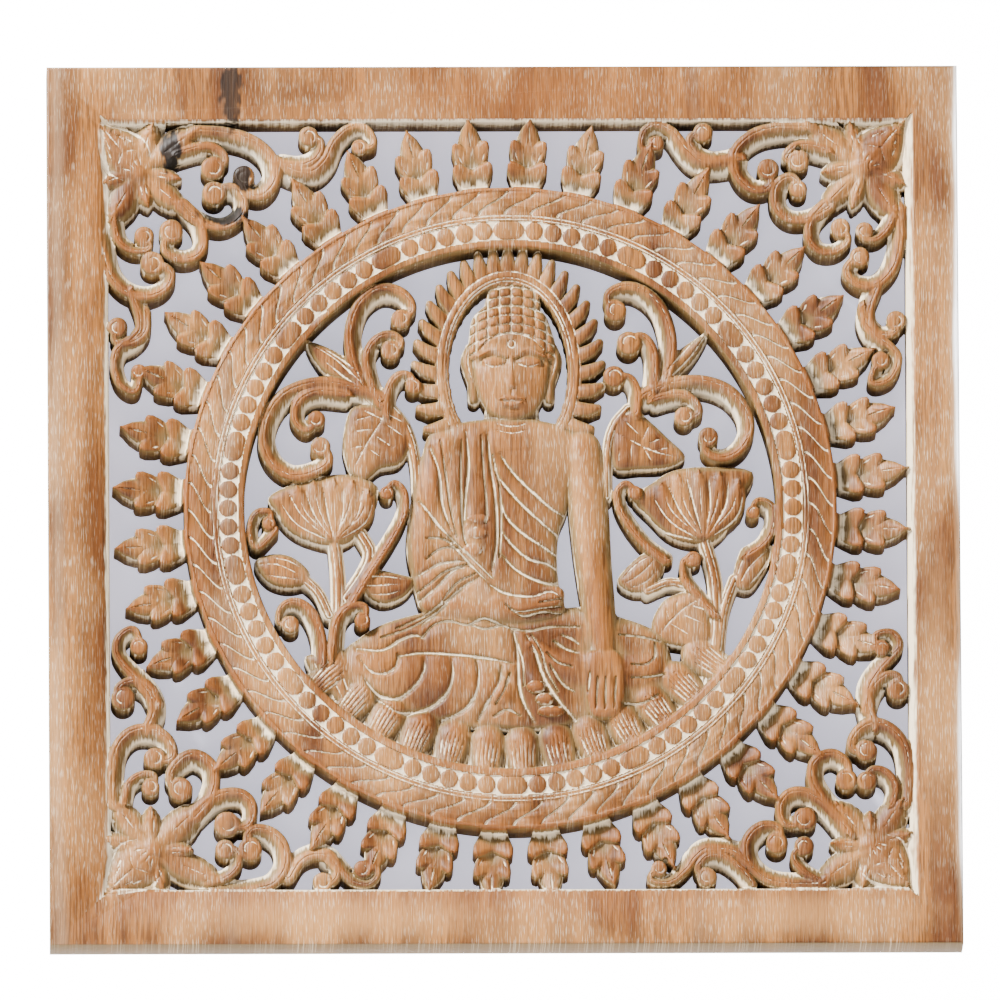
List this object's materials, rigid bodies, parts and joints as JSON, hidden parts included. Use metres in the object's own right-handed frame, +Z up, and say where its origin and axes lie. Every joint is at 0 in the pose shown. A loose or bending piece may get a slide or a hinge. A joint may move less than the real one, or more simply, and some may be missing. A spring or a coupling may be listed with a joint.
{
  "type": "carved wooden wall panel",
  "caption": "Square pierced wall panel carved from one slab: flat border, corner flowers, leaf and bead ring with sprays, seated figure among lotus plants. Hangs on a wall.",
  "frame": {"origin": "centre of the back face of the top rail, where the panel hangs", "axes": "+X to the viewer's right, +Z up, -Y out of the carved front; the flat back lies in y = 0"},
  "size_m": [0.4, 0.024, 0.392],
  "materials": {
    "washed_wood": "matt orange-brown hardwood, hand carved, with cream lime wash in the carved lines and pores"
  },
  "bodies": {
    "root": {"carved_panel": "washed_wood"}
  },
  "joints": []
}
